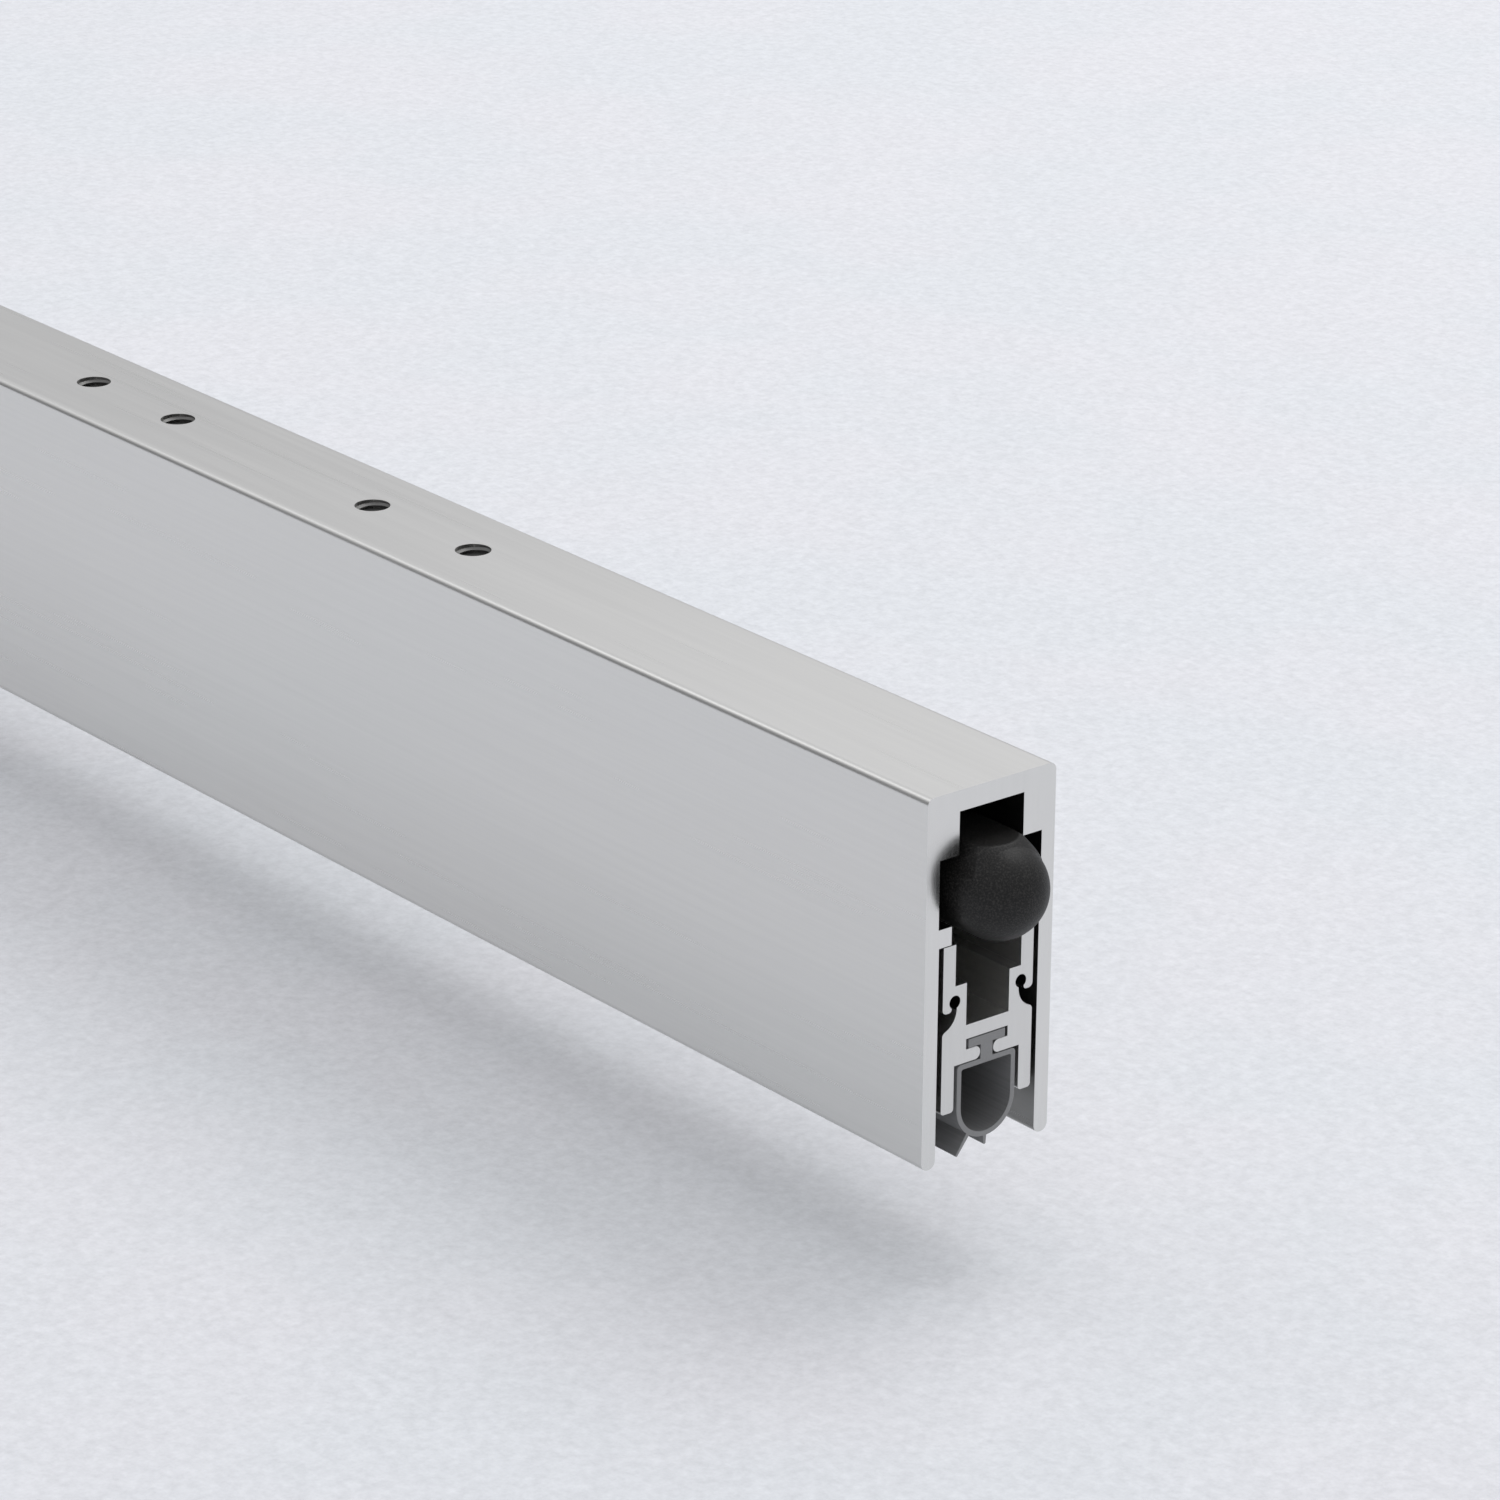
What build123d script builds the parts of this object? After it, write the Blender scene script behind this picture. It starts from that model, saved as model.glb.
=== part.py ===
"""Drop-down door bottom seal: a case in the door, and a carrier with a gasket that a push button lowers.

Millimetres. X runs along the seal with the push button at +X, Y across the door, Z up. The origin is the
middle of the case's top face, which bears on the bottom of the groove in the door. Depths are measured
down from that face.
"""

from build123d import *
from math import asin, atan2, cos, degrees, hypot, radians, sin
import os

os.makedirs("parts", exist_ok=True)

# Case: one extrusion, an inverted U with a narrow channel above a wide room, and two ribs
case_length = 335.0
case_width = 12.5
case_height = 30.0
side_wall = 1.28
lower_wall = 1.34
top_wall = 1.7
top_corner_radius = 0.4
channel_width = 6.26
shoulder_depth = 5.17
rib_top_depth = 10.7
rib_thickness = 1.5
rib_gap = 7.38

# Share of its thickness that each corner radius takes at the end of a wall that is rounded on both sides
rounding_share = 0.48

# Tapped holes in the top, by their distance from the button end
hole_radius = 1.5
hole_distances = (64.3, 78.4, 107.4, 120.7)

# Carrier: one extrusion, arms over a channel, a web, a slot for the gasket and two legs
carrier_side_gap = 0.48
carrier_top_gap = 0.07
arm_thickness = 1.2
trough_width = 4.2
trough_height = 3.45
web_thickness = 1.15
slot_width = 4.1
slot_height = 0.85
lip_thickness = 1.05
lip_gap = 1.3
lip_radius = 0.5
leg_thickness = 1.23
leg_recess = 4.11
leg_radius = 0.3

# Keyhole groove in each side of the carrier, below the arms, and the flare below it
groove_radius = 0.53
groove_inset = 1.18
groove_drop = 1.28
groove_neck_width = 0.5
groove_neck_inset = 0.2
nub_drop = 0.76
nub_radius = 0.4
nub_inner_radius = 0.26
flare_radius = 1.74
flare_drop = 0.58
flare_edge_radius = 0.4

# Gasket: one rubber extrusion, a head in the slot, a stem between the lips and a hollow bulb
head_top_gap = 0.1
head_side_gap = 0.25
head_thickness = 0.72
stem_gap = 0.06
bulb_top_gap = 0.1
bulb_side_gap = 0.33
bulb_wall = 0.42
bulb_corner_radius = 0.35
bulb_inner_radius = 0.18
bulb_recess = 1.28
long_lip_angle = 36.2
long_lip_length = 1.9
short_lip_angle = 0.0
short_lip_length = 0.72
lip_root_width = 0.36
lip_tip_width = 0.2

# Push button: a round nose with slanted shoulders up to a flat top
button_radius = 3.9
button_depth = 8.36
button_reach = 4.7
button_length = 15.0
shoulder_angle = 60.0
shoulder_front_radius = 4.68
shoulder_front_reach = 3.9
button_bore_depth = 9.0

# Drive: the button's stroke lowers the carrier by the drop
stroke = 4.5
drop = 10.0
link_length = 28.0
slide_to_guide_gap = 2.7
fixed_pivot_from_far_end = 60.0

# Links: flat bars with round ends, and the pins through them
link_height = 4.0
link_thickness = 2.0
cheek_thickness = 1.0
cheek_gap = 0.15
bridge_thickness = 0.9
bridge_start = 2.4
bridge_stop = 6.0
pin_radius = 1.0
pin_recess = 0.15
rivet_head_radius = 1.5
rivet_head_height = 0.35

# Blocks: mouldings that fit the case's channel and room
fixed_block_gap = 0.05
slide_block_gap = 0.12
block_front = 3.0
fixed_block_length = 14.0
slide_block_length = 17.0
guide_block_length = 9.0
fork_gap = 0.2
fork_depth_gap = 0.25
saw_cut_width = 0.5
saw_cut_end = 4.4
spreader_distance = 7.0
rod_clamp_distance = 5.6
stud_seat_wall = 0.4

# Bracket between the carrier and each long link
bracket_fit_gap = 0.04
bracket_front = 4.0
bracket_length = 13.0
bracket_cheek_top = 1.8
bracket_screw_distance = 6.2
bracket_seat_drop = 2.7
bracket_screw_head_radius = 1.9
bracket_screw_head_height = 1.5
bracket_screw_head_chamfer = 0.3
bracket_screw_radius = 1.25
bracket_socket_width = 2.0
bracket_socket_depth = 0.9

# Rod, stud, nut, washer, spring and grub screws
rod_radius = 1.25
rod_depth = 3.6
rod_overhang = 1.0
rod_chamfer = 0.25
stud_radius = 1.5
stud_chamfer = 0.4
nut_width = 5.5
nut_thickness = 2.2
washer_radius = 3.6
washer_thickness = 0.6
spring_radius = 2.95
spring_wire_radius = 0.35
spring_wire_sides = 8
spring_length = 13.2
spring_turns = 6.0
grub_radius = 1.5
grub_length = 4.0
grub_chamfer = 0.3
grub_socket_width = 1.5
grub_socket_depth = 1.6

# Clearances
running_gap = 0.05
pressed_gap = 0.01
lost_motion = 0.6
lift_motion = 0.3
pin_floor_gap = 0.14
slide_bore_gap = 0.15
screw_gap = 0.02

# Places that follow from the sizes above
button_end = case_length / 2
far_end = -case_length / 2
room_width = case_width - 2 * side_wall
lower_room_width = case_width - 2 * lower_wall
rib_bottom_depth = rib_top_depth + rib_thickness
pivot_depth = (shoulder_depth + rib_top_depth) / 2

# A long link with its short link on its middle moves its lower end straight down. The two angles of the
# long link are those that give the stroke along the case and the drop across it.
mean_angle = degrees(atan2(stroke, drop))
half_swing = degrees(asin(hypot(stroke, drop) / (2 * link_length)))
raised_angle = mean_angle - half_swing
slide_pivot_distance = link_length * cos(radians(raised_angle))
carrier_pivot_depth = pivot_depth + link_length * sin(radians(raised_angle))

# The carrier's arms reach down past the carrier pin, and its legs end above the case's edges
carrier_width = lower_room_width - 2 * carrier_side_gap
carrier_top = rib_bottom_depth + carrier_top_gap
arm_gap = carrier_width - 2 * arm_thickness
step_depth = carrier_pivot_depth + pin_radius + lift_motion + pin_floor_gap
trough_floor = step_depth + trough_height
slot_top = trough_floor + web_thickness
slot_bottom = slot_top + slot_height
lip_bottom = slot_bottom + lip_thickness
leg_gap = carrier_width - 2 * leg_thickness
leg_bottom = case_height - leg_recess

# Button, nut, washer, spring, guide block and first slide block follow one another from the button end
button_back = button_end - button_length
nut_back = button_back - nut_thickness
washer_back = nut_back - washer_thickness
guide_front = washer_back - spring_length
guide_back = guide_front - guide_block_length
first_slide_front = guide_back - slide_to_guide_gap
stud_seat_depth = slide_block_length - block_front - rod_clamp_distance - grub_radius - stud_seat_wall
stud_back = first_slide_front - stud_seat_depth
slide_pivots = (
    first_slide_front - slide_block_length + block_front,
    far_end + fixed_pivot_from_far_end + slide_pivot_distance,
)
fixed_pivots = tuple(x - slide_pivot_distance for x in slide_pivots)

block_bottom = rib_top_depth - fixed_block_gap
fork_top = pivot_depth - link_height / 2 - fork_depth_gap
short_link_width = link_thickness + 2 * (cheek_gap + cheek_thickness)
block_pin_length = room_width - 2 * slide_block_gap - 2 * pin_recess


def save(piece: BuildPart, name: str) -> None:
    """Label a finished piece and write it to its own file."""
    piece.part.label = name
    export_step(piece.part, f"parts/{name}.step")


def band(width: float, top: float, bottom: float, mode: Mode = Mode.ADD) -> None:
    """A strip of a cross-section, centred on the seal, from one depth to another."""
    with Locations((0, -top)):
        Rectangle(width, bottom - top, align=(Align.CENTER, Align.MAX), mode=mode)


def half_band(width: float, top: float, bottom: float, mode: Mode = Mode.ADD) -> None:
    """The +Y half of such a strip."""
    with Locations((0, -top)):
        Rectangle(width / 2, bottom - top, align=(Align.MIN, Align.MAX), mode=mode)


def round_corner(section: BuildSketch, y: float, depth: float, radius: float) -> None:
    """Round the corner of a cross-section that is nearest to a point."""
    fillet(section.vertices().sort_by_distance((y, -depth))[0], radius)


def block_section(gap: float) -> None:
    """The T-shaped section of a block that fits the case's channel and room with a gap all round."""
    band(channel_width - 2 * gap, top_wall + gap, shoulder_depth + gap)
    band(room_width - 2 * gap, shoulder_depth + gap, rib_top_depth - gap)


def fork_cut(front: float, back: float, width: float, top: float, bottom: float) -> None:
    """Cut a slot for a link into the part, open downwards from a depth, between two places along X."""
    with BuildSketch(Plane.XY.offset(-bottom)) as outline:
        with Locations(((front + back) / 2, 0)):
            Rectangle(front - back, width)
    extrude(outline.sketch, amount=bottom - top, mode=Mode.SUBTRACT)


def cross_bore(
    x: float, depth: float, radius: float, width: float, slot_x: float = 0, slot_z: float = 0
) -> None:
    """Bore across the part along Y, made longer along X or downwards by the slot lengths."""
    with BuildSketch(Plane.XZ) as outline:
        with Locations((x, -depth)):
            Circle(radius)
        if slot_x or slot_z:
            with Locations((x + slot_x / 2, -depth - slot_z / 2)):
                SlotCenterToCenter(slot_x + slot_z, 2 * radius, rotation=90 if slot_z else 0)
    extrude(outline.sketch, amount=width, both=True, mode=Mode.SUBTRACT)


def upright_bore(x: float, top: float, bottom: float, radius: float) -> None:
    """Bore the part along Z between two depths."""
    with BuildSketch(Plane.XY.offset(-bottom)) as outline:
        with Locations((x, 0)):
            Circle(radius)
    extrude(outline.sketch, amount=bottom - top, mode=Mode.SUBTRACT)


def lengthwise_bore(front: float, back: float, depth: float, radius: float) -> None:
    """Bore the part along X between two places."""
    with BuildSketch(Plane.YZ.offset(back)) as outline:
        with Locations((0, -depth)):
            Circle(radius)
    extrude(outline.sketch, amount=front - back, mode=Mode.SUBTRACT)


# Case

with BuildPart() as case:
    with BuildSketch(Plane.YZ.offset(far_end)) as case_section:
        band(case_width, 0, case_height)
        band(channel_width, top_wall, shoulder_depth, Mode.SUBTRACT)
        band(room_width, shoulder_depth, rib_top_depth, Mode.SUBTRACT)
        band(rib_gap, rib_top_depth, rib_bottom_depth, Mode.SUBTRACT)
        band(lower_room_width, rib_bottom_depth, case_height, Mode.SUBTRACT)
        fillet(case_section.vertices().group_by(Axis.Y)[0], lower_wall * rounding_share)
        fillet(case_section.vertices().group_by(Axis.Y)[-1], top_corner_radius)
    extrude(amount=case_length)
    with Locations(*[(button_end - distance, 0, 0) for distance in hole_distances]):
        Hole(hole_radius, depth=top_wall)

save(case, "case")

# Carrier

with BuildPart() as carrier:
    with BuildSketch(Plane.YZ.offset(far_end)) as carrier_section:
        half_band(carrier_width, carrier_top, leg_bottom)
        half_band(arm_gap, carrier_top, step_depth, Mode.SUBTRACT)
        half_band(trough_width, step_depth, trough_floor, Mode.SUBTRACT)
        half_band(slot_width, slot_top, slot_bottom, Mode.SUBTRACT)
        half_band(lip_gap, slot_bottom, lip_bottom, Mode.SUBTRACT)
        half_band(leg_gap, lip_bottom, leg_bottom, Mode.SUBTRACT)

        # Keyhole groove, its neck, and the flare that widens the carrier again below it
        groove_y = carrier_width / 2 - groove_inset
        groove_depth = step_depth + groove_drop
        nub_bottom = groove_depth + nub_drop
        neck_y = groove_y - groove_neck_inset
        flare_y = neck_y + flare_radius
        flare_depth = groove_depth + flare_drop
        flare_start = 180 + degrees(asin((nub_bottom - flare_depth) / flare_radius))
        with Locations((groove_y, -groove_depth)):
            Circle(groove_radius, mode=Mode.SUBTRACT)
        with Locations((neck_y, -groove_depth)):
            Rectangle(groove_neck_width, nub_drop, align=(Align.MIN, Align.MAX), mode=Mode.SUBTRACT)
        with BuildLine():
            flare = CenterArc((flare_y, -flare_depth), flare_radius, flare_start, 270 - flare_start)
            Polyline(flare @ 1, (flare_y, -nub_bottom), flare @ 0)
        make_face(mode=Mode.SUBTRACT)

        flare_edge_depth = flare_depth + (flare_radius**2 - (flare_y - carrier_width / 2) ** 2) ** 0.5
        round_corner(carrier_section, carrier_width / 2, flare_edge_depth, flare_edge_radius)
        round_corner(carrier_section, carrier_width / 2, nub_bottom, nub_radius)
        round_corner(carrier_section, neck_y + groove_neck_width, nub_bottom, nub_inner_radius)
        round_corner(carrier_section, lip_gap / 2, slot_bottom, lip_radius)
        round_corner(carrier_section, lip_gap / 2, lip_bottom, lip_radius)
        round_corner(carrier_section, leg_gap / 2, leg_bottom, leg_radius)
        round_corner(carrier_section, carrier_width / 2, leg_bottom, leg_radius)
        mirror(about=Plane.YZ)
    extrude(amount=case_length)
    for pivot in fixed_pivots:
        screw_place = pivot - bracket_screw_distance
        upright_bore(screw_place, trough_floor, slot_top, bracket_screw_radius + screw_gap)

save(carrier, "carrier")

# Gasket

bulb_width = leg_gap - 2 * bulb_side_gap
bulb_top = lip_bottom + bulb_top_gap
bulb_centre = case_height - bulb_recess - bulb_width / 2


def bulb(width: float, top: float, corner: float, mode: Mode) -> None:
    """A bulb section: flat top, straight sides and a round bottom about the bulb's centre."""
    with BuildSketch() as shape:
        with BuildLine():
            bottom = CenterArc((0, -bulb_centre), width / 2, 180, 180)
            Polyline(bottom @ 1, (width / 2, -top), (-width / 2, -top), bottom @ 0)
        make_face()
        fillet(shape.vertices().group_by(Axis.Y)[-1], corner)
    add(shape.sketch, mode=mode)


def sealing_lip(angle: float, length: float) -> None:
    """A tapered lip that stands straight out of the bulb's round bottom, at an angle from straight down."""
    root = bulb_width / 2 - bulb_wall / 2
    tip = bulb_width / 2 + length
    with BuildSketch() as shape:
        with BuildLine():
            Polyline(
                (-lip_root_width / 2, -root),
                (lip_root_width / 2, -root),
                (lip_tip_width / 2, -tip),
                (-lip_tip_width / 2, -tip),
                close=True,
            )
        make_face()
        fillet(shape.vertices().group_by(Axis.Y)[0], lip_tip_width * rounding_share)
    with Locations(Location((0, -bulb_centre), -angle)):
        add(shape.sketch)


with BuildPart() as gasket:
    with BuildSketch(Plane.YZ.offset(far_end)) as gasket_section:
        head_top = slot_top + head_top_gap
        band(slot_width - 2 * head_side_gap, head_top, head_top + head_thickness)
        band(lip_gap - 2 * stem_gap, head_top, bulb_top + bulb_wall)
        bulb(bulb_width, bulb_top, bulb_corner_radius, Mode.ADD)
        sealing_lip(long_lip_angle, long_lip_length)
        sealing_lip(short_lip_angle, short_lip_length)
        bulb(bulb_width - 2 * bulb_wall, bulb_top + bulb_wall, bulb_inner_radius, Mode.SUBTRACT)
    extrude(amount=case_length)

save(gasket, "gasket")

# Push button

nose_centre = button_end + button_reach - button_radius
shoulder_front_centre = button_end + shoulder_front_reach - shoulder_front_radius

with BuildPart() as push_button:
    # Slanted shoulders that touch the round body and end in the flat top
    with BuildSketch(Plane.YZ.offset(button_back)):
        with Locations((0, -button_depth + button_radius)):
            Trapezoid(
                2 * button_radius * cos(radians(90 - shoulder_angle)),
                button_radius * (1 - sin(radians(90 - shoulder_angle))),
                shoulder_angle,
                align=(Align.CENTER, Align.MAX),
            )
    extrude(amount=button_length + button_radius)

    # Their front ends are turned round
    with BuildSketch(Plane.XZ.shift_origin((0, 0, -button_depth))):
        with BuildLine():
            front = CenterArc((shoulder_front_centre, 0), shoulder_front_radius, 0, 90)
            Polyline(front @ 1, (button_back, shoulder_front_radius), (button_back, 0), front @ 0)
        make_face()
    revolve(axis=Axis((0, 0, -button_depth), (1, 0, 0)), mode=Mode.INTERSECT)

    # The round body and its nose
    with BuildSketch(Plane.YZ.offset(button_back)):
        with Locations((0, -button_depth)):
            Circle(button_radius)
    extrude(amount=nose_centre - button_back)
    with Locations((nose_centre, 0, -button_depth)):
        Sphere(button_radius)
    lengthwise_bore(button_back + button_bore_depth, button_back, button_depth, stud_radius + screw_gap)

save(push_button, "push_button")

# Stud, nut and washer behind the button

with BuildPart() as adjusting_screw:
    with BuildSketch(Plane.YZ.offset(stud_back)):
        with Locations((0, -button_depth)):
            Circle(stud_radius)
    extrude(amount=button_back + button_bore_depth - stud_back)
    chamfer(adjusting_screw.edges().filter_by(GeomType.CIRCLE), stud_chamfer)

save(adjusting_screw, "adjusting_screw")

with BuildPart() as lock_nut:
    with BuildSketch(Plane.YZ.offset(nut_back)):
        with Locations((0, -button_depth)):
            RegularPolygon(nut_width / 2, 6, major_radius=False)
            Circle(stud_radius + screw_gap, mode=Mode.SUBTRACT)
    extrude(amount=nut_thickness)

save(lock_nut, "lock_nut")

with BuildPart() as spring_washer:
    with BuildSketch(Plane.YZ.offset(washer_back)):
        with Locations((0, -button_depth)):
            Circle(washer_radius)
            Circle(stud_radius + running_gap, mode=Mode.SUBTRACT)
    extrude(amount=washer_thickness)

save(spring_washer, "spring_washer")

# Return spring, between the guide block and the washer

with BuildPart() as return_spring:
    coil_start = guide_front + spring_wire_radius
    coil_length = spring_length - 2 * spring_wire_radius
    with BuildLine():
        coil = Helix(
            coil_length / spring_turns,
            coil_length,
            spring_radius,
            center=(coil_start, 0, -button_depth),
            direction=(1, 0, 0),
        )
    with BuildSketch(Plane(origin=coil @ 0, z_dir=coil % 0)):
        RegularPolygon(spring_wire_radius, spring_wire_sides)
    sweep(is_frenet=True)

save(return_spring, "return_spring")

# Guide block, fixed in the case, that the stud slides through

with BuildPart() as guide_block:
    with BuildSketch(Plane.YZ.offset(guide_back)):
        block_section(fixed_block_gap)
    extrude(amount=guide_block_length)
    lengthwise_bore(guide_front, guide_back, button_depth, stud_radius + running_gap)
    guide_screw_x = (guide_front + guide_back) / 2
    upright_bore(guide_screw_x, top_wall, block_bottom, grub_radius + screw_gap)

save(guide_block, "guide_block")


def grub_screw(x: float, top: float, name: str) -> None:
    """An upright grub screw with its flat end at a depth and its hexagon socket below."""
    with BuildPart() as screw:
        with BuildSketch(Plane.XY.offset(-top - grub_length)):
            with Locations((x, 0)):
                Circle(grub_radius)
        extrude(amount=grub_length)
        chamfer(screw.edges().group_by(Axis.Z)[-1], grub_chamfer)
        with BuildSketch(Plane.XY.offset(-top - grub_length)):
            with Locations((x, 0)):
                RegularPolygon(grub_socket_width / 2, 6, major_radius=False)
        extrude(amount=grub_socket_depth, mode=Mode.SUBTRACT)
    save(screw, name)


grub_screw(guide_screw_x, top_wall + screw_gap, "guide_block_screw")

# Push rod through the slide blocks, clamped in both

rod_front = first_slide_front - rod_overhang
rod_back = slide_pivots[1] - block_front - rod_overhang

with BuildPart() as push_rod:
    with BuildSketch(Plane.YZ.offset(rod_back)):
        with Locations((0, -rod_depth)):
            Circle(rod_radius)
    extrude(amount=rod_front - rod_back)
    chamfer(push_rod.edges().filter_by(GeomType.CIRCLE), rod_chamfer)

save(push_rod, "push_rod")


def slide_block(pivot: float, number: int) -> None:
    """The block that the push rod moves: a fork for the long link, a rod clamp and a seat for the stud."""
    back = pivot - block_front
    front = back + slide_block_length
    with BuildPart() as block:
        with BuildSketch(Plane.YZ.offset(back)):
            block_section(slide_block_gap)
        extrude(amount=slide_block_length)
        fork_cut(
            pivot + link_height / 2 + lost_motion + fork_depth_gap,
            back,
            link_thickness + 2 * fork_gap,
            fork_top,
            rib_top_depth,
        )
        cross_bore(pivot, pivot_depth, pin_radius + running_gap, room_width / 2, slot_x=lost_motion)
        lengthwise_bore(front, back, rod_depth, rod_radius + screw_gap)
        upright_bore(pivot + rod_clamp_distance, rod_depth, rib_top_depth, grub_radius + screw_gap)
        lengthwise_bore(front, front - stud_seat_depth, button_depth, stud_radius + screw_gap)
    save(block, f"slide_block_{number}")
    clamp_top = rod_depth + rod_radius + screw_gap
    grub_screw(pivot + rod_clamp_distance, clamp_top, f"slide_block_screw_{number}")


def fixed_block(pivot: float, number: int) -> None:
    """The block that holds the short link: a fork, and a split end that a screw spreads in the case."""
    front = pivot + block_front
    back = front - fixed_block_length
    with BuildPart() as block:
        with BuildSketch(Plane.YZ.offset(back)):
            block_section(fixed_block_gap)
        extrude(amount=fixed_block_length)
        fork_cut(
            front,
            pivot - link_height / 2 - fork_depth_gap,
            short_link_width + 2 * fork_gap,
            fork_top,
            rib_top_depth,
        )
        fork_cut(pivot - saw_cut_end, back, saw_cut_width, fork_top, rib_top_depth)
        cross_bore(pivot, pivot_depth, pin_radius + pressed_gap, room_width / 2)
        lengthwise_bore(front, back, rod_depth, rod_radius + slide_bore_gap)
        upright_bore(pivot - spreader_distance, fork_top, rib_top_depth, grub_radius + screw_gap)
    save(block, f"fixed_block_{number}")
    grub_screw(pivot - spreader_distance, fork_top + screw_gap, f"fixed_block_screw_{number}")


def link_plane(x: float, depth: float, slope: float) -> Plane:
    """The plane of a link's side view, from the middle of the seal, with its X along the link."""
    tilt = radians(slope)
    return Plane(origin=(x, 0, -depth), x_dir=(cos(tilt), 0, sin(tilt)), z_dir=(0, -1, 0))


def long_link(pivot: float, number: int) -> None:
    """The flat link from the slide block's pin down to the carrier's pin, with an eye in its middle."""
    plane = link_plane(pivot, carrier_pivot_depth, raised_angle)
    with BuildPart() as link:
        with BuildSketch(plane):
            with Locations((link_length / 2, 0)):
                SlotCenterToCenter(link_length, link_height)
            with Locations((0, 0), (link_length, 0)):
                Circle(pin_radius + pressed_gap, mode=Mode.SUBTRACT)
            with Locations((link_length / 2, 0)):
                Circle(pin_radius + running_gap, mode=Mode.SUBTRACT)
        extrude(amount=link_thickness / 2, both=True)
    save(link, f"long_link_{number}")


def short_link(pivot: float, number: int) -> None:
    """The folded link that swings about the fixed block: two cheeks beside the long link, and a bridge."""
    plane = link_plane(pivot, pivot_depth, -raised_angle)
    length = link_length / 2
    with BuildPart() as link:
        with BuildSketch(plane):
            with Locations((length / 2, 0)):
                SlotCenterToCenter(length, link_height)
            Circle(pin_radius + running_gap, mode=Mode.SUBTRACT)
            with Locations((length, 0)):
                Circle(pin_radius + pressed_gap, mode=Mode.SUBTRACT)
        extrude(amount=short_link_width / 2, both=True)
        with BuildSketch(plane):
            with Locations((length / 2, 0)):
                Rectangle(length + link_height, link_height)
            with Locations(((bridge_start + length - bridge_stop) / 2, link_height / 2)):
                Rectangle(
                    length - bridge_stop - bridge_start,
                    bridge_thickness,
                    align=(Align.CENTER, Align.MAX),
                    mode=Mode.SUBTRACT,
                )
        extrude(amount=short_link_width / 2 - cheek_thickness, both=True, mode=Mode.SUBTRACT)
    save(link, f"short_link_{number}")


def cross_pin(x: float, depth: float, width: float, name: str) -> None:
    """A plain pin across the seal."""
    with BuildPart() as pin:
        with BuildSketch(Plane.XZ):
            with Locations((x, -depth)):
                Circle(pin_radius)
        extrude(amount=width / 2, both=True)
    save(pin, name)


def rivet(x: float, depth: float, width: float, name: str) -> None:
    """A pin across the seal with a flat head at each end, outside the width that it holds."""
    with BuildPart() as pin:
        with BuildSketch(Plane.XZ):
            with Locations((x, -depth)):
                Circle(pin_radius)
        extrude(amount=width / 2, both=True)
        for side in (-1, 1):
            with BuildSketch(Plane.XZ.offset(side * width / 2)):
                with Locations((x, -depth)):
                    Circle(rivet_head_radius)
            extrude(amount=side * rivet_head_height)
    save(pin, name)


def carrier_bracket(pivot: float, number: int) -> None:
    """The bracket on the carrier: cheeks with upright slots for the long link's pin, and a screw seat."""
    front = pivot + bracket_front
    back = front - bracket_length
    top = carrier_pivot_depth - bracket_cheek_top
    screw_x = pivot - bracket_screw_distance
    seat = top + bracket_seat_drop
    with BuildPart() as bracket:
        with BuildSketch(Plane.YZ.offset(back)):
            band(arm_gap - 2 * bracket_fit_gap, top, step_depth)
            band(trough_width - 2 * bracket_fit_gap, step_depth, trough_floor)
        extrude(amount=bracket_length)
        fork_cut(
            front,
            pivot - link_height / 2 - fork_depth_gap,
            link_thickness + 2 * fork_gap,
            top,
            carrier_pivot_depth + link_height / 2 + lift_motion + fork_depth_gap,
        )
        cross_bore(pivot, carrier_pivot_depth, pin_radius + running_gap, arm_gap / 2, slot_z=lift_motion)
        upright_bore(screw_x, top, seat, bracket_screw_head_radius + slide_bore_gap)
        upright_bore(screw_x, seat, trough_floor, bracket_screw_radius + screw_gap)
    save(bracket, f"carrier_bracket_{number}")

    with BuildPart() as screw:
        with BuildSketch(Plane.XY.offset(-slot_top)):
            with Locations((screw_x, 0)):
                Circle(bracket_screw_radius)
        extrude(amount=slot_top - seat)
        with BuildSketch(Plane.XY.offset(-seat)):
            with Locations((screw_x, 0)):
                Circle(bracket_screw_head_radius)
        extrude(amount=bracket_screw_head_height)
        chamfer(screw.edges().group_by(Axis.Z)[-1], bracket_screw_head_chamfer)
        with BuildSketch(Plane.XY.offset(-seat + bracket_screw_head_height)):
            with Locations((screw_x, 0)):
                RegularPolygon(bracket_socket_width / 2, 6, major_radius=False)
        extrude(amount=-bracket_socket_depth, mode=Mode.SUBTRACT)
    save(screw, f"bracket_screw_{number}")


# The two lowering units

for number, fixed_pivot in enumerate(fixed_pivots, start=1):
    slide_pivot = fixed_pivot + slide_pivot_distance
    middle_pivot = (fixed_pivot + slide_pivot) / 2
    middle_depth = (pivot_depth + carrier_pivot_depth) / 2
    slide_block(slide_pivot, number)
    fixed_block(fixed_pivot, number)
    long_link(fixed_pivot, number)
    short_link(fixed_pivot, number)
    carrier_bracket(fixed_pivot, number)
    cross_pin(slide_pivot, pivot_depth, block_pin_length, f"slide_pin_{number}")
    cross_pin(fixed_pivot, pivot_depth, block_pin_length, f"fixed_pin_{number}")
    cross_pin(fixed_pivot, carrier_pivot_depth, arm_gap - 2 * pin_recess, f"carrier_pin_{number}")
    rivet(middle_pivot, middle_depth, short_link_width, f"middle_pin_{number}")
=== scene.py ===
"""Looks of a drop-down door bottom seal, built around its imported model.

Metres. X runs along the seal with the push button at +X, Y across the door, Z up. The origin is the middle
of the case's top face.
"""

import logging
import math
from dataclasses import dataclass, field
from enum import Enum
from functools import cache
from typing import Any

import bmesh
import bpy
from mathutils import Matrix, Vector


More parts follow.
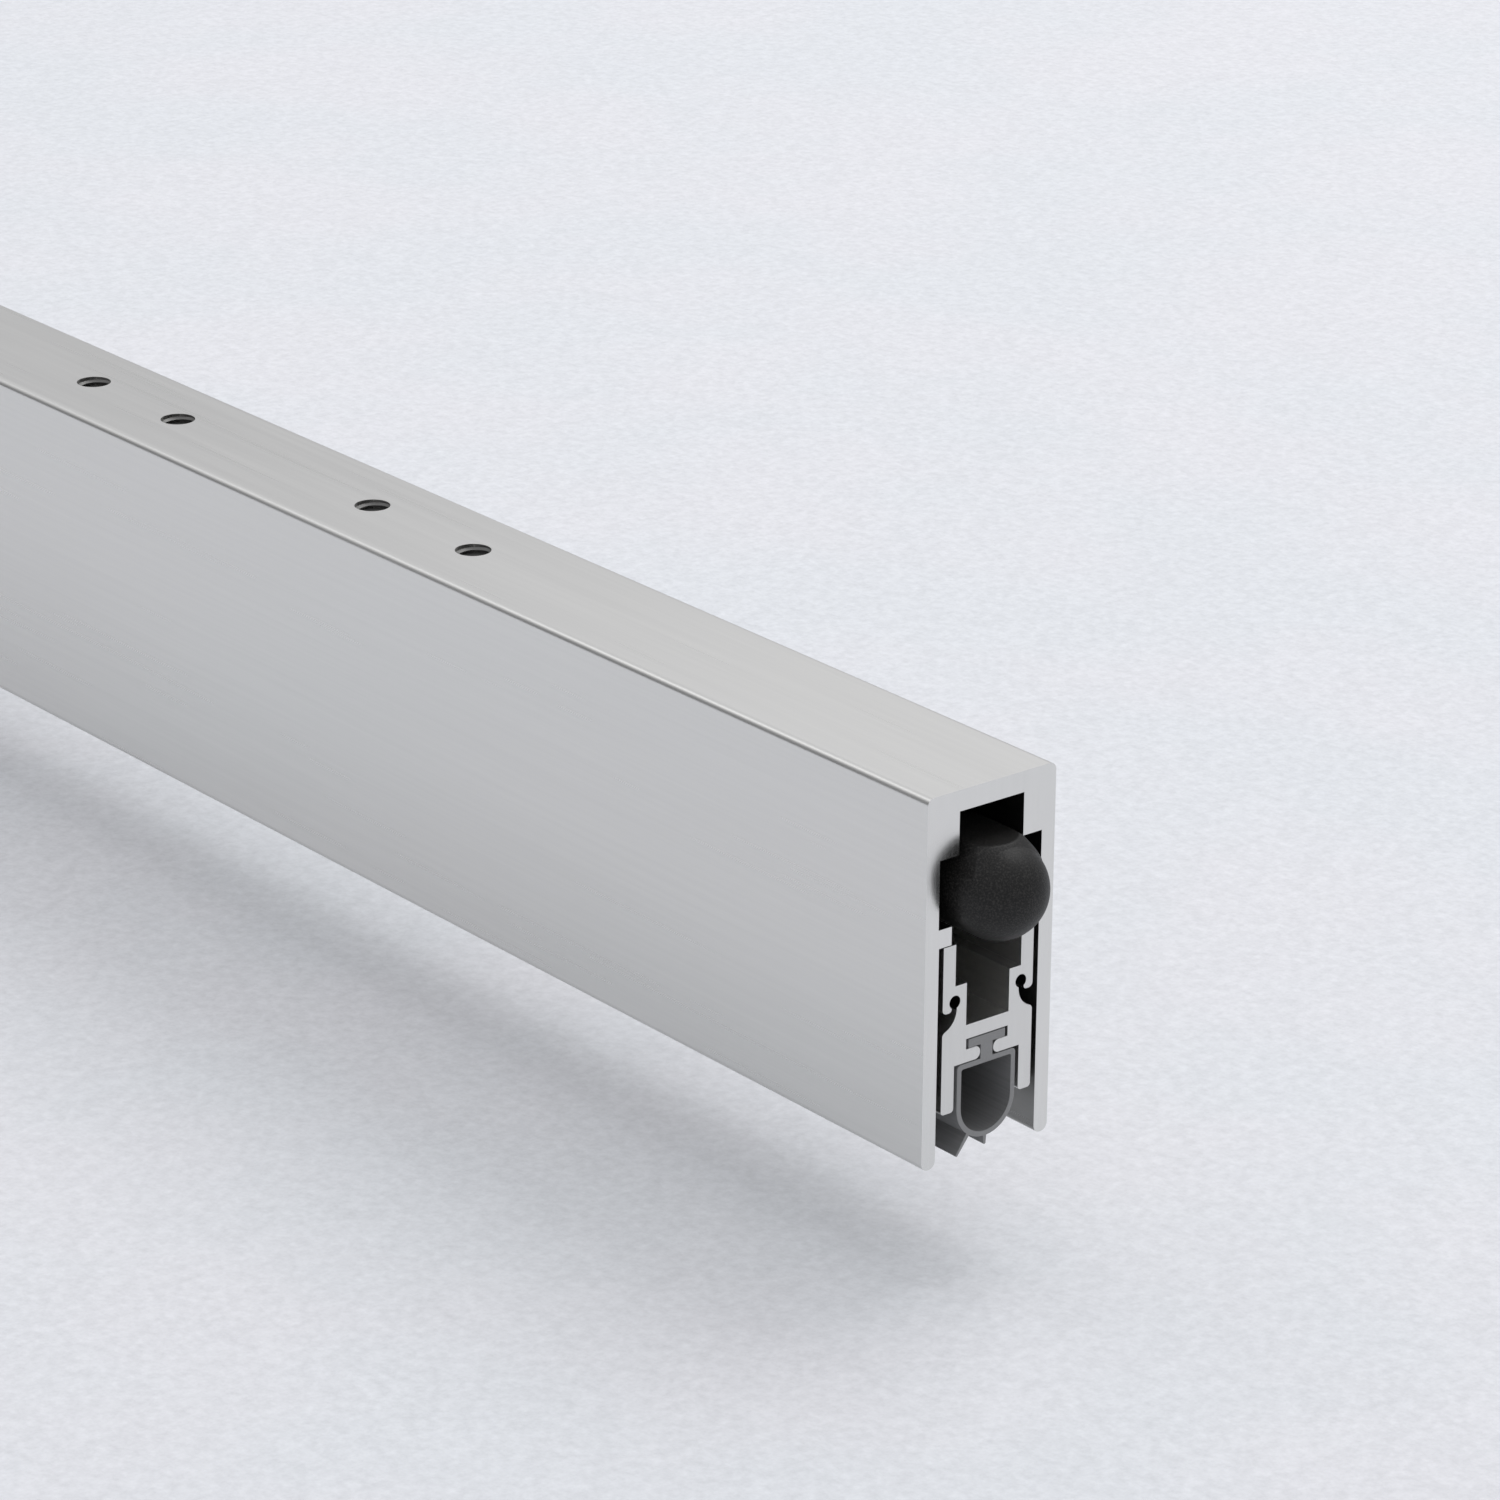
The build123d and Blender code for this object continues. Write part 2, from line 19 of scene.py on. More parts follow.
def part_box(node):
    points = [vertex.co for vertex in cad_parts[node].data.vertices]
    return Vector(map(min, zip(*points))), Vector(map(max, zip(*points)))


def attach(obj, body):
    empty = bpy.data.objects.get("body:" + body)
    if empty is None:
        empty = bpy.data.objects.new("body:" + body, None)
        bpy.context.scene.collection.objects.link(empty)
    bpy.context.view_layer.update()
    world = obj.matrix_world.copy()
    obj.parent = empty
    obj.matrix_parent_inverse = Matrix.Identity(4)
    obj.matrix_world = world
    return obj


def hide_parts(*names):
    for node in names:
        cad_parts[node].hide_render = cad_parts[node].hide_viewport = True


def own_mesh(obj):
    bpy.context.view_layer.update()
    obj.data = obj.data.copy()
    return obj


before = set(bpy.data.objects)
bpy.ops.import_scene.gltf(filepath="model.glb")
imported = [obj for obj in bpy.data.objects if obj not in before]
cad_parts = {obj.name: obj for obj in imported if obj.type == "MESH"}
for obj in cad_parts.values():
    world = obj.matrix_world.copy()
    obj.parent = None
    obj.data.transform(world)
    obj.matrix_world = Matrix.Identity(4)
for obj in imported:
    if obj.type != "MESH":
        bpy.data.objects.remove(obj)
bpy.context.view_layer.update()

MM = 0.001
NOISE_OFFSET = (7.37, 3.61, 5.43)
NOISE_MIDDLE = 0.5
END_FACE_EDGES = (0.75, 0.9)
# A limit that is further out than the seal reaches
NO_LIMIT = -1.0
WELD_DISTANCE = 0.001 * MM
# Edges nearer to the top face than this count as lying in it
TOP_DEPTH = 0.01 * MM
# How far down the crisp edges of a hole reach, as a share of their radius
CRISP_DEPTH_SHARE = 1.2
FLAT_ANGLE = math.radians(0.5)
SHARP_ANGLE = math.radians(38)
SMOOTH_ANGLE = math.radians(32)
Colour = tuple[float, float, float]
Place = tuple[float, float, float]
Range = tuple[float, float]

log = logging.getLogger("door_bottom_seal")


class Direction(Enum):
    """The axis that a surface's marks run along."""

    LENGTHWISE = 0
    UPRIGHT = 2


# Patterns and shades


@dataclass(frozen=True)
class Pattern:
    """Noise with a number of marks to the metre along X, Y and Z, and finer layers on them."""

    scale: tuple[float, float, float]
    detail: float = 2.0
    roughness: float = 0.5


def even(marks: float, detail: float = 2.0, roughness: float = 0.5) -> Pattern:
    """Noise with as many marks to the metre in every direction."""
    return Pattern((marks, marks, marks), detail, roughness)


def drawn_out(
    direction: Direction,
    width: float,
    length: float,
    detail: float,
    roughness: float = 0.5,
) -> Pattern:
    """Noise whose marks are drawn out along one direction.

    Args:
        direction: The direction.
        width: Width of a mark.
        length: Its length.
        detail: Number of finer layers.
        roughness: Strength of each finer layer.

    Returns:
        The pattern.
    """
    scale = [1 / width] * 3
    scale[direction.value] = 1 / length
    return Pattern(tuple(scale), detail, roughness)


def shades(colour: Colour, levels: Range) -> tuple[Colour, ...]:
    """A colour at two levels of brightness."""
    return tuple(tuple(part * level for part in colour) for level in levels)


# Nodes


class Graph:
    """The nodes of one material or world."""

    def __init__(self, tree: bpy.types.NodeTree) -> None:
        """Start from an empty tree.

        Args:
            tree: The node tree to fill.
        """
        self.tree = tree
        tree.nodes.clear()

    def node(
        self,
        kind: str,
        settings: dict[str, Any] | None = None,
        inputs: dict[str | int, Any] | None = None,
        output: str | int = 0,
    ) -> "Signal":
        """Add a node.

        Args:
            kind: The node's type.
            settings: Its properties.
            inputs: Values or signals by socket name, identifier or number.
            output: The output that is returned.

        Returns:
            The chosen output.
        """
        node = self.tree.nodes.new(kind)
        for name, value in (settings or {}).items():
            setattr(node, name, value)
        for key, value in (inputs or {}).items():
            self.feed(self._socket(node.inputs, key), value)
        return Signal(self, self._socket(node.outputs, output))

    def finish(self, kind: str, socket: str, value: "Signal") -> None:
        """Add the node that ends the tree.

        Args:
            kind: The node's type.
            socket: The name of its input.
            value: What feeds it.
        """
        node = self.tree.nodes.new(kind)
        self.feed(node.inputs[socket], value)

    @staticmethod
    def _socket(sockets: Any, key: str | int) -> bpy.types.NodeSocket:
        """Find a socket.

        Args:
            sockets: A node's inputs or outputs.
            key: The socket's number, identifier or name.

        Returns:
            The socket.
        """
        if isinstance(key, int):
            return sockets[key]
        for socket in sockets:
            if socket.identifier == key:
                return socket
        return sockets[key]

    def feed(self, socket: bpy.types.NodeSocket, value: Any) -> None:
        """Link a signal to a socket, or set its value.

        Args:
            socket: The input socket.
            value: A signal, a number, a colour or a vector.
        """
        if isinstance(value, Signal):
            self.tree.links.new(value.socket, socket)
        elif socket.type == "RGBA" and len(value) == 3:
            socket.default_value = (*value, 1.0)
        else:
            socket.default_value = value

    def places(self) -> "Signal":
        """The point on the surface in the row frame, in metres."""
        return self.node("ShaderNodeTexCoord", output="Object")

    def noise(self, places: "Signal", pattern: Pattern) -> "Signal":
        """Smooth noise from 0 to 1.

        Args:
            places: Where it is read.
            pattern: Its scale and layers.

        Returns:
            The noise.
        """
        inputs = {0: places, 1: pattern.scale, 2: NOISE_OFFSET}
        stretched = self.node("ShaderNodeVectorMath", {"operation": "MULTIPLY_ADD"}, inputs, "Vector")
        inputs = {
            "Vector": stretched,
            "Scale": 1.0,
            "Detail": pattern.detail,
            "Roughness": pattern.roughness,
        }
        return self.node("ShaderNodeTexNoise", None, inputs, "Fac")

    def step(self, value: "Signal", start: float, stop: float) -> "Signal":
        """A smooth step from 0 to 1.

        Args:
            value: What is read.
            start: The value at which the step is still 0.
            stop: The value at which it has come to 1.

        Returns:
            The step.
        """
        settings = {"interpolation_type": "SMOOTHSTEP"}
        inputs = {"Value": value, "From Min": start, "From Max": stop, "To Min": 0.0, "To Max": 1.0}
        return self.node("ShaderNodeMapRange", settings, inputs, "Result")

    def blend(self, share: "Signal", first: Any, second: Any) -> "Signal":
        """Mix two numbers by a share from 0 to 1."""
        inputs = {"Factor_Float": share, "A_Float": first, "B_Float": second}
        return self.node("ShaderNodeMix", {"data_type": "FLOAT"}, inputs, "Result_Float")

    def tint(self, share: Any, first: Any, second: Any) -> "Signal":
        """Mix two colours by a share from 0 to 1."""
        inputs = {"Factor_Float": share, "A_Color": first, "B_Color": second}
        return self.node("ShaderNodeMix", {"data_type": "RGBA"}, inputs, "Result_Color")

    def end_face(self) -> "Signal":
        """Tell the cut ends from the sides.

        Returns:
            1 where the surface faces along the seal, 0 where it faces across it.
        """
        normal = self.node("ShaderNodeNewGeometry", output="Normal")
        along = self.node("ShaderNodeSeparateXYZ", None, {0: normal}, "X")
        return self.step(along.size(), *END_FACE_EDGES)

    def bump(self, height: "Signal", depth: float, strength: float) -> "Signal":
        """A normal that is tilted by a height.

        Args:
            height: The height, from 0 to 1.
            depth: What a height of 1 stands for, in metres.
            strength: How much of it is used.

        Returns:
            The normal.
        """
        inputs = {"Height": height, "Distance": depth, "Strength": strength}
        return self.node("ShaderNodeBump", None, inputs, "Normal")


class Signal:
    """A value that changes over a surface, with Python's operators."""

    def __init__(self, graph: Graph, socket: bpy.types.NodeSocket) -> None:
        """Wrap an output socket of a graph."""
        self.graph = graph
        self.socket = socket

    def output(self, name: str) -> "Signal":
        """Another output of the same node."""
        return Signal(self.graph, self.socket.node.outputs[name])

    def _maths(self, operation: str, *values: Any) -> "Signal":
        """Add a Math node on some values."""
        return self.graph.node("ShaderNodeMath", {"operation": operation}, dict(enumerate(values)))

    def __add__(self, other: Any) -> "Signal":
        """self + other."""
        return self._maths("ADD", self, other)

    __radd__ = __add__

    def __sub__(self, other: Any) -> "Signal":
        """self - other."""
        return self._maths("SUBTRACT", self, other)

    def __rsub__(self, other: Any) -> "Signal":
        """other - self."""
        return self._maths("SUBTRACT", other, self)

    def __mul__(self, other: Any) -> "Signal":
        """self * other."""
        return self._maths("MULTIPLY", self, other)

    __rmul__ = __mul__

    def size(self) -> "Signal":
        """The value without its sign."""
        return self._maths("ABSOLUTE", self)

    def swing(self, spread: float) -> "Signal":
        """The swing of a noise about its middle, as wide as the spread."""
        return (self - NOISE_MIDDLE) * spread


# Finishes


@dataclass(frozen=True)
class Finish:
    """A surface finish, made into one material."""

    name: str
    slot: str
    roughness_spread: float = 0.15
    bump_depth: float = 0.003 * MM
    bump_strength: float = 0.3

    @cache
    def material(self) -> bpy.types.Material:
        """Make the finish's material, once.

        Returns:
            The material.
        """
        material = bpy.data.materials.new(self.name)
        material.use_nodes = True
        graph = Graph(material.node_tree)
        surface = graph.node("ShaderNodeBsdfPrincipled", None, self.surface(graph), "BSDF")
        graph.finish("ShaderNodeOutputMaterial", "Surface", surface)
        return material

    def surface(self, graph: Graph) -> dict[str, Any]:
        """What feeds the surface shader.

        Args:
            graph: The material's nodes.

        Returns:
            Values and signals by socket name.
        """
        raise NotImplementedError

    def relief(self, graph: Graph, height: Signal) -> Signal:
        """The normal that the finish's own bumps give."""
        return graph.bump(height, self.bump_depth, self.bump_strength)

    def dress(self, piece: bpy.types.Object) -> None:
        """Give the finish to a piece."""
        piece.data.materials.clear()
        piece.data.materials.append(self.material())

    def dress_nodes(self, *names: str) -> None:
        """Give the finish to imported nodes, in their own material slots.

        Args:
            names: The nodes' names.
        """
        for name in names:
            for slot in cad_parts[name].material_slots:
                slot.material = self.material()
            log.info("%s dressed as %s", name, self.name)


@dataclass(frozen=True)
class PaintedShadingBox:
    """A box inside a section where painted shade or painted light gives the skin another grey, mirrored
    about the middle.
    """

    grey: float
    outer: float
    top: float
    inner: float = NO_LIMIT
    bottom: float = NO_LIMIT
    blur: float = 0.02 * MM

    def mask(self, graph: Graph, across: Signal, height: Signal) -> Signal:
        """1 inside the box.

        Args:
            graph: The material's nodes.
            across: Distance from the middle of the section.
            height: Height in the row frame.

        Returns:
            The mask.
        """
        beyond_inner = graph.step(across, self.inner - self.blur, self.inner + self.blur)
        beyond_outer = graph.step(across, self.outer - self.blur, self.outer + self.blur)
        above_bottom = graph.step(height, self.bottom - self.blur, self.bottom + self.blur)
        above_top = graph.step(height, self.top - self.blur, self.top + self.blur)
        return beyond_inner * (1 - beyond_outer) * above_bottom * (1 - above_top)


@dataclass(frozen=True)
class DrawnAluminium(Finish):
    """Extruded aluminium with fine streaks along it and saw marks on its ends."""

    # Boxes where a grey of painted shade or painted light replaces the skin's grey
    painted_shading_boxes: tuple[PaintedShadingBox, ...] = ()
    tint: Colour = (1.0, 0.994, 0.97)
    grey: float = 0.73
    end_grey: float = 0.74
    contrast: float = 0.15
    end_contrast: float = 0.14
    cloud_contrast: float = 0.05
    roughness: float = 0.3
    end_roughness: float = 0.18
    roughness_spread: float = 0.18
    bump_strength: float = 0.25
    fine: Pattern = drawn_out(Direction.LENGTHWISE, 0.5 * MM, 30 * MM, 1.6, 0.6)
    broad: Pattern = drawn_out(Direction.LENGTHWISE, 3 * MM, 75 * MM, 2.0)
    broad_share: float = 0.3
    cloud: Pattern = Pattern((14.0, 70.0, 70.0), 1.0)
    saw: Pattern = drawn_out(Direction.UPRIGHT, 0.35 * MM, 9 * MM, 4.0, 0.7)

    def surface(self, graph: Graph) -> dict[str, Any]:
        """Streaks along X on the sides, saw marks on the ends, painted shade and painted light as other
        greys in boxes inside the section.

        Args:
            graph: The material's nodes.

        Returns:
            Values and signals by socket name.
        """
        places = graph.places()
        fine = graph.noise(places, self.fine)
        broad = graph.noise(places, self.broad)
        cloud = graph.noise(places, self.cloud)
        saw = graph.noise(places, self.saw)
        ends = graph.end_face()
        streaks = fine * (1 - self.broad_share) + broad * self.broad_share
        marks = graph.blend(ends, streaks, saw)
        level = graph.blend(ends, self.skin(graph, places), self.end_grey)
        contrast = graph.blend(ends, self.contrast, self.end_contrast)
        shade = level * (1 + contrast * (marks - NOISE_MIDDLE) + cloud.swing(self.cloud_contrast))
        red, green, blue = self.tint
        inputs = {0: shade * red, 1: shade * green, 2: shade * blue}
        roughness = graph.blend(ends, self.roughness, self.end_roughness)
        return {
            "Base Color": graph.node("ShaderNodeCombineColor", None, inputs, "Color"),
            "Metallic": 1.0,
            "Roughness": roughness + marks.swing(self.roughness_spread),
            "Normal": self.relief(graph, marks),
        }

    def skin(self, graph: Graph, places: Signal) -> Any:
        """The grey of the skin, with the grey of each box of painted shade or painted light.

        Args:
            graph: The material's nodes.
            places: The points on the surface.

        Returns:
            A signal, or a number where there are no painted boxes.
        """
        parts = graph.node("ShaderNodeSeparateXYZ", None, {0: places}, "X")
        across = parts.output("Y").size()
        grey = self.grey
        # Painted shade and painted light: each box swaps in its own grey
        for shading_box in self.painted_shading_boxes:
            grey = graph.blend(shading_box.mask(graph, across, parts.output("Z")), grey, shading_box.grey)
        return grey


@dataclass(frozen=True)
class ExtrudedRubber(Finish):
    """Grey rubber with faint lines along it and a lighter, grainy cut end."""

    skin: Colour = (0.2, 0.201, 0.203)
    skin_levels: Range = (0.82, 1.2)
    cut: Colour = (0.27, 0.27, 0.27)
    cut_levels: Range = (0.8, 1.2)
    roughness: float = 0.62
    gloss: float = 0.35
    bump_depth: float = 0.02 * MM
    lines: Pattern = Pattern((40.0, 5200.0, 5200.0))
    grain: Pattern = even(9000.0, 3.0, 0.65)

    def surface(self, graph: Graph) -> dict[str, Any]:
        """Die lines along X, grain on the cut ends.

        Args:
            graph: The material's nodes.

        Returns:
            Values and signals by socket name.
        """
        places = graph.places()
        lines = graph.noise(places, self.lines)
        grain = graph.noise(places, self.grain)
        ends = graph.end_face()
        marks = graph.blend(ends, lines, grain)
        skin = graph.tint(marks, *shades(self.skin, self.skin_levels))
        cut = graph.tint(marks, *shades(self.cut, self.cut_levels))
        return {
            "Base Color": graph.tint(ends, skin, cut),
            "Roughness": self.roughness + marks.swing(self.roughness_spread),
            "Specular IOR Level": self.gloss,
            "Normal": self.relief(graph, marks),
        }


@dataclass(frozen=True)
class GrainedPlastic(Finish):
    """Moulded plastic with a fine even grain."""

    colour: Colour = (0.005, 0.0049, 0.0047)
    speck: Colour = (0.034, 0.0325, 0.0305)
    speck_edges: Range = (0.42, 0.72)
    roughness: float = 0.5
    roughness_spread: float = 0.12
    grain_spread: float = 0.1
    gloss: float = 0.3
    bump_depth: float = 0.05 * MM
    bump_strength: float = 0.6
    grain_size: float = 0.13 * MM
    grain_harshness: float = 0.6
    cloud: Pattern = even(500.0)

    def surface(self, graph: Graph) -> dict[str, Any]:
        """Grain of one size in every direction, with pale specks on its tops.

        Args:
            graph: The material's nodes.

        Returns:
            Values and signals by socket name.
        """
        places = graph.places()
        grain = graph.noise(places, even(1 / self.grain_size, roughness=self.grain_harshness))
        cloud = graph.noise(places, self.cloud)
        specks = graph.step(grain, *self.speck_edges)
        roughness = self.roughness + cloud.swing(self.roughness_spread) + grain.swing(self.grain_spread)
        return {
            "Base Color": graph.tint(specks, self.colour, self.speck),
            "Roughness": roughness,
            "Specular IOR Level": self.gloss,
            "Normal": self.relief(graph, grain),
        }


@dataclass(frozen=True)
class PlatedSteel(Finish):
    """Zinc plated steel with the faint cloudy bloom of the plating."""

    colour: Colour = (0.62, 0.63, 0.65)
    bloom: Colour = (0.5, 0.53, 0.58)
    bloom_edges: Range = (0.4, 0.7)
    roughness: float = 0.28
    roughness_spread: float = 0.2
    scratch_spread: float = 0.1
    bump_depth: float = 0.004 * MM
    cloud: Pattern = even(700.0, 3.0)
    scratches: Pattern = Pattern((1200.0, 7000.0, 1200.0), 3.0, 0.6)

    def surface(self, graph: Graph) -> dict[str, Any]:
        """Clouds of bloom over fine scratches.

        Args:
            graph: The material's nodes.

        Returns:
            Values and signals by socket name.
        """
        places = graph.places()
        cloud = graph.noise(places, self.cloud)
        scratches = graph.noise(places, self.scratches)
        bloom = graph.step(cloud, *self.bloom_edges)
        roughness = self.roughness + cloud.swing(self.roughness_spread)
        return {
            "Base Color": graph.tint(bloom, self.colour, self.bloom),
            "Metallic": 1.0,
            "Roughness": roughness + scratches.swing(self.scratch_spread),
            "Normal": self.relief(graph, scratches),
        }


@dataclass(frozen=True)
class DrawnWire(Finish):
    """Bright spring wire with die lines round it."""

    colour: Colour = (0.5, 0.5, 0.52)
    levels: Range = (1.0, 0.7)
    cloud_edges: Range = (0.45, 0.7)
    roughness: float = 0.25
    lines: Pattern = Pattern((9000.0, 2500.0, 2500.0))
    cloud: Pattern = even(400.0)

    def surface(self, graph: Graph) -> dict[str, Any]:
        """Fine die lines and darker clouds.

        Args:
            graph: The material's nodes.

        Returns:
            Values and signals by socket name.
        """
        places = graph.places()
        lines = graph.noise(places, self.lines)
        cloud = graph.noise(places, self.cloud)
        darkness = graph.step(cloud, *self.cloud_edges)
        return {
            "Base Color": graph.tint(darkness, *shades(self.colour, self.levels)),
            "Metallic": 1.0,
            "Roughness": self.roughness + lines.swing(self.roughness_spread),
            "Normal": self.relief(graph, lines),
        }


@dataclass(frozen=True)
class BlackenedSteel(Finish):
    """Blackened steel with small worn patches that are lighter."""

    colour: Colour = (0.045, 0.045, 0.05)
    worn: Colour = (0.13, 0.13, 0.135)
    wear_edges: Range = (0.58, 0.75)
    metallic: float = 0.8
    roughness: float = 0.38
    roughness_spread: float = 0.2
    bump_depth: float = 0.004 * MM
    wear: Pattern = even(2500.0, 3.0, 0.6)

    def surface(self, graph: Graph) -> dict[str, Any]:
        """Black with thin worn patches.

        Args:
            graph: The material's nodes.

        Returns:
            Values and signals by socket name.
        """
        wear = graph.noise(graph.places(), self.wear)
        return {
            "Base Color": graph.tint(graph.step(wear, *self.wear_edges), self.colour, self.worn),
            "Metallic": self.metallic,
            "Roughness": self.roughness + wear.swing(self.roughness_spread),
            "Normal": self.relief(graph, wear),
        }


@dataclass(frozen=True)
class DieCastZinc(Finish):
    """Die cast zinc, dull grey with a fine pebbled skin."""

    colour: Colour = (0.42, 0.42, 0.43)
    levels: Range = (1.0, 0.8)
    flow_edges: Range = (0.4, 0.7)
    roughness: float = 0.45
    bump_depth: float = 0.01 * MM
    bump_strength: float = 0.4
    pebbles: Pattern = even(4000.0)
    flow: Pattern = Pattern((300.0, 900.0, 900.0))

    def surface(self, graph: Graph) -> dict[str, Any]:
        """Pebbled skin with darker flow marks.

        Args:
            graph: The material's nodes.

        Returns:
            Values and signals by socket name.
        """
        places = graph.places()
        pebbles = graph.noise(places, self.pebbles)
        flow = graph.noise(places, self.flow)
        darkness = graph.step(flow, *self.flow_edges)
        return {
            "Base Color": graph.tint(darkness, *shades(self.colour, self.levels)),
            "Metallic": 1.0,
            "Roughness": self.roughness + pebbles.swing(self.roughness_spread),
            "Normal": self.relief(graph, pebbles),
        }


# Painted shade: the inside of the channel below the top wall has a dark grey, and the walls of the tapped
# holes a darker grey than the outside
CASE_ALUMINIUM = DrawnAluminium(
    "brushed_case",
    "case_aluminium",
    painted_shading_boxes=(
        PaintedShadingBox(grey=0.27, outer=5.6 * MM, top=-1.75 * MM),
        PaintedShadingBox(grey=0.6, outer=1.53 * MM, top=-0.04 * MM, bottom=-1.75 * MM),
    ),
)
# Painted shade: the threads deep in the holes are a dark grey
SHADED_THREAD_ALUMINIUM = DrawnAluminium("cut_thread_painted_shade", "case_aluminium", grey=0.2, end_grey=0.2, roughness=0.55)
# Painted light and painted shade: the middle of the section from 11.9 to 19.3 mm down is a near-white
# grey, and a narrow band 16.3 to 17.6 mm down, 2.6 to 4 mm out to each side, is near black
CARRIER_ALUMINIUM = DrawnAluminium(
    "drawn_carrier",
    "carrier_aluminium",
    painted_shading_boxes=(
        PaintedShadingBox(grey=0.95, outer=3.35 * MM, top=-11.9 * MM, bottom=-19.3 * MM),
        PaintedShadingBox(grey=0.1, inner=2.62 * MM, outer=3.95 * MM, top=-16.3 * MM, bottom=-17.6 * MM),
    ),
    end_grey=0.68,
    roughness=0.34,
)
RUBBER = ExtrudedRubber("extruded_gasket", "gasket_rubber")
BUTTON_PLASTIC = GrainedPlastic("grained_button", "button_plastic")
BLOCK_PLASTIC = GrainedPlastic("moulded_block", "block_plastic", grain_size=0.25 * MM, roughness=0.45)
ZINC_STEEL = PlatedSteel("plated_steel", "zinc_steel")
SPRING_STEEL = DrawnWire("drawn_spring_wire", "spring_steel")
BLACK_STEEL = BlackenedSteel("blackened_screw", "black_steel")
BRACKET_ZINC = DieCastZinc("cast_bracket", "bracket_zinc")


# Pieces


def finished_piece(name: str, body: str, mesh: bmesh.types.BMesh, finish: Finish) -> bpy.types.Object:
    """Turn a mesh into a piece that rides on a body.

    Args:
        name: The piece's name.
        body: The body that it rides on.
        mesh: Its mesh, which is used up.
        finish: Its finish.

    Returns:
        The piece.
    """
    data = bpy.data.meshes.new(name)
    mesh.to_mesh(data)
    mesh.free()
    data.shade_smooth()
    data.set_sharp_from_angle(angle=SMOOTH_ANGLE)
    piece = bpy.data.objects.new(name, data)
    bpy.context.scene.collection.objects.link(piece)
    finish.dress(piece)
    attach(piece, body)
    log.info("%s rides on %s: %d faces", name, body, len(data.polygons))
    return piece


def softened(node: str, body: str, edge: float, finish: Finish, crisp: float = 0.0) -> bpy.types.Object:
    """A piece of a node's own shape with its sharp edges broken.

    Args:
        node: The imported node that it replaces.
        body: The body that it rides on.
        edge: Width of the broken edges.
        finish: Its finish.
        crisp: Edges at the top nearer to the middle than this stay sharp, as do all in the top face.

    Returns:
        The piece.
    """
    mesh = bmesh.new()
    mesh.from_mesh(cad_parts[node].data)
    bmesh.ops.remove_doubles(mesh, verts=mesh.verts, dist=WELD_DISTANCE)
    bmesh.ops.dissolve_limit(mesh, angle_limit=FLAT_ANGLE, verts=mesh.verts, edges=mesh.edges)
    sharp = []
    for line in mesh.edges:
        start, end = (corner.co for corner in line.verts)
        lowest = min(start.z, end.z)
        in_hole = max(abs(start.y), abs(end.y)) < crisp and lowest > -crisp * CRISP_DEPTH_SHARE
        on_top = lowest > -TOP_DEPTH
        if not in_hole and not on_top and line.calc_face_angle(0.0) > SHARP_ANGLE:
            sharp.append(line)
    bmesh.ops.bevel(
        mesh,
        geom=sharp,
        offset=edge,
        segments=2,
        profile=0.5,
        affect="EDGES",
        clamp_overlap=True,
    )
    piece = finished_piece(f"{node}_body", body, mesh, finish)
    flat = piece.modifiers.new("flat_faces", "WEIGHTED_NORMAL")
    flat.keep_sharp = True
    flat.weight = 100
    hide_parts(node)
    return piece


def lofted(rings: list[list[Vector]]) -> bmesh.types.BMesh:
    """A closed skin over rings of points.

    Args:
        rings: Rings of the same number of points; the first and last are closed by a face.

    Returns:
        The skin.
    """
    mesh = bmesh.new()
    loops = [[mesh.verts.new(place) for place in ring] for ring in rings]
    for first, second in zip(loops, loops[1:]):
        for k, corner in enumerate(first):
            following = (k + 1) % len(first)
            mesh.faces.new((corner, first[following], second[following], second[k]))
    mesh.faces.new(loops[0][::-1])
    mesh.faces.new(loops[-1])
    bmesh.ops.recalc_face_normals(mesh, faces=mesh.faces)
    return mesh


